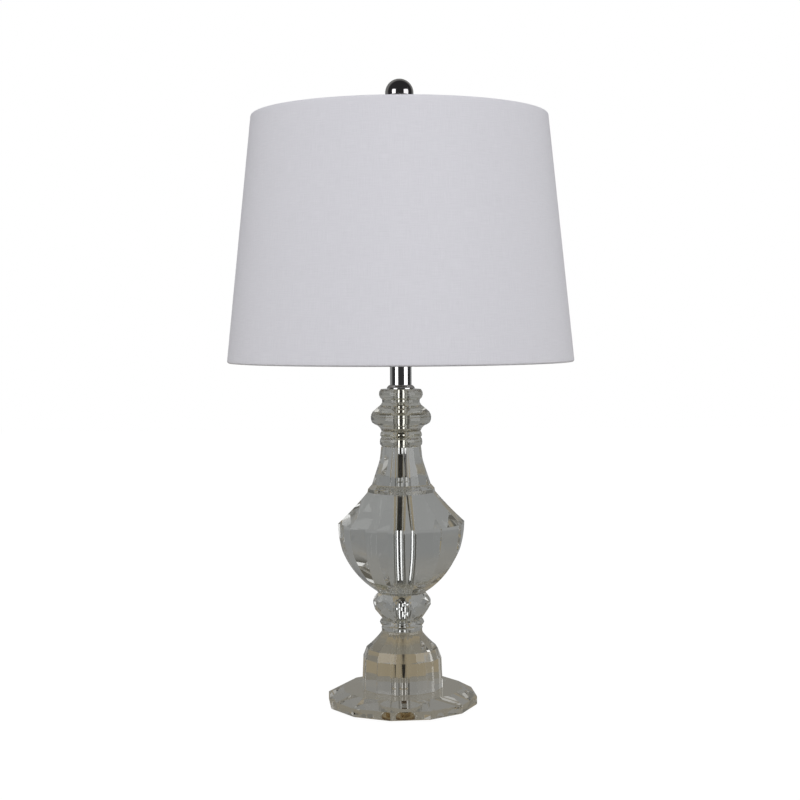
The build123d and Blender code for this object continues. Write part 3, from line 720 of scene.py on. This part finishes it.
def world():
    """White where the camera looks past the lamp, and a grey studio for what the lamp mirrors or bends."""
    made = bpy.data.worlds.new("studio")
    bpy.context.scene.world = made
    made.use_nodes = True
    tree = made.node_tree
    tree.nodes.clear()
    path = node(tree, "ShaderNodeLightPath").outputs
    direction = node(tree, "ShaderNodeTexCoord").outputs["Generated"]
    parts = node(tree, "ShaderNodeSeparateXYZ", {"Vector": direction}).outputs
    towards_back = maths(tree, "ADD", parts["Y"], maths(tree, "MULTIPLY", parts["X"], -0.15))
    wall = mixed(tree, ranged(tree, parts["Z"], 0, 1, 0.12, 0.22), WALL_LOW, WALL_HIGH)
    front = front_colour(tree, ROOM_FRONT, ROOM_FRONT_TRAPPED, ROOM_FRONT_LOST)
    room = mixed(tree, ranged(tree, towards_back, 0, 1, 0.3, 0.55), front, wall)
    fill = mixed(tree, ranged(tree, parts["Y"], 0, 1, -1, 0.8), FILL_FRONT, FILL_BACK)
    soft = mixed(tree, path["Is Diffuse Ray"], room, fill)
    seen = mixed(tree, path["Is Camera Ray"], soft, (1, 1, 1))
    background = node(tree, "ShaderNodeBackground", {"Color": seen})
    node(tree, "ShaderNodeOutputWorld", {"Surface": background.outputs[0]})


def floor():
    """A plain white floor, which glows to all but camera rays as a painted grey table, warmer round the base.
    """
    size = 4.0
    level = -0.0002
    mesh = bpy.data.meshes.new("floor")
    corners = [(-size, -size, level), (size, -size, level), (size, size, level), (-size, size, level)]
    mesh.from_pydata(corners, [], [(0, 1, 2, 3)])
    plane = place("floor", mesh)
    material = bpy.data.materials.new("floor")
    material.use_nodes = True
    tree = material.node_tree
    tree.nodes.clear()
    path = node(tree, "ShaderNodeLightPath").outputs
    where = node(tree, "ShaderNodeNewGeometry").outputs["Position"]
    back = node(tree, "ShaderNodeSeparateXYZ", {"Vector": where}).outputs["Y"]
    reach = node(tree, "ShaderNodeVectorMath", {0: where}, operation="LENGTH").outputs["Value"]
    # Painted light: the glow that the crystals see, lighter on trapped and lost paths.
    warm = mixed(tree, ranged(tree, reach, 0, 1, 0.078, 0.10), TABLE_GLOW_UNDER_BASE, TABLE_GLOW_ROUND_BASE)
    front = front_colour(tree, TABLE_GLOW_FRONT, TABLE_GLOW_FRONT_TRAPPED, TABLE_GLOW_FRONT_LOST)
    near = mixed(tree, ranged(tree, back, 0, 1, -0.13, -0.085), front, warm)
    table = mixed(tree, ranged(tree, back, 0, 1, 0.20, 0.26), near, TABLE_GLOW_BACK)
    seen = mixed(tree, path["Is Camera Ray"], table, FLOOR_WHITE)
    glow = node(tree, "ShaderNodeEmission", {"Color": seen})
    paper = mixed(tree, path["Is Camera Ray"], (0, 0, 0), FLOOR_MATT)
    matt = node(tree, "ShaderNodeBsdfDiffuse", {"Color": paper})
    both = node(tree, "ShaderNodeAddShader", {0: glow.outputs[0], 1: matt.outputs[0]})
    node(tree, "ShaderNodeOutputMaterial", {"Surface": both.outputs[0]})
    paint(plane, material)


def softbox(name, azimuth, width, radiance):
    """A tall soft light that faces the lamp. Azimuth is counted from the camera's side, to the right.

    It is dimmer on paths that bounced inside the crystals, which keeps their glints small.
    """
    height = 1.4
    centre = 0.5
    distance = 1.3
    light = bpy.data.lights.new(name, "AREA")
    light.shape = "RECTANGLE"
    light.size = width
    light.size_y = height
    light.energy = radiance * math.pi * width * height
    light.use_nodes = True
    tree = light.node_tree
    once = ranged(tree, trapped(tree, 1), 1.0, BOUNCED_LIGHT)
    far = ranged(tree, lost(tree), 1.0, LOST_LIGHT)
    tree.links.new(maths(tree, "MULTIPLY", once, far), tree.nodes["Emission"].inputs["Strength"])
    lamp = place(name, light)
    turn = math.radians(azimuth)
    lamp.location = (distance * math.sin(turn), -distance * math.cos(turn), centre)
    lamp.rotation_euler = (math.radians(90), 0, turn)
    lamp.visible_camera = False


def camera():
    """The photograph's viewpoint."""
    lens = bpy.data.cameras.new("camera")
    lens.lens = lens.sensor_width * FOCAL_PIXELS / FRAME_PIXELS
    lens.shift_y = CAMERA_SHIFT
    viewpoint = place("camera", lens)
    level = Matrix.Rotation(math.radians(90), 4, "X")
    roll = Matrix.Rotation(math.radians(-CAMERA_ROLL), 4, "Z")
    viewpoint.matrix_world = Matrix.Translation(CAMERA_PLACE) @ level @ roll
    bpy.context.scene.camera = viewpoint


world()
floor()
softbox("left_softbox", azimuth=-45, width=0.7, radiance=2.0)
softbox("right_softbox", azimuth=57, width=0.95, radiance=1.6)
camera()

scene = bpy.context.scene
scene.view_settings.view_transform = "Standard"
scene.cycles.max_bounces = MOST_BOUNCES
scene.cycles.transmission_bounces = MOST_BOUNCES
scene.cycles.glossy_bounces = MOST_BOUNCES
scene.cycles.use_denoising = True
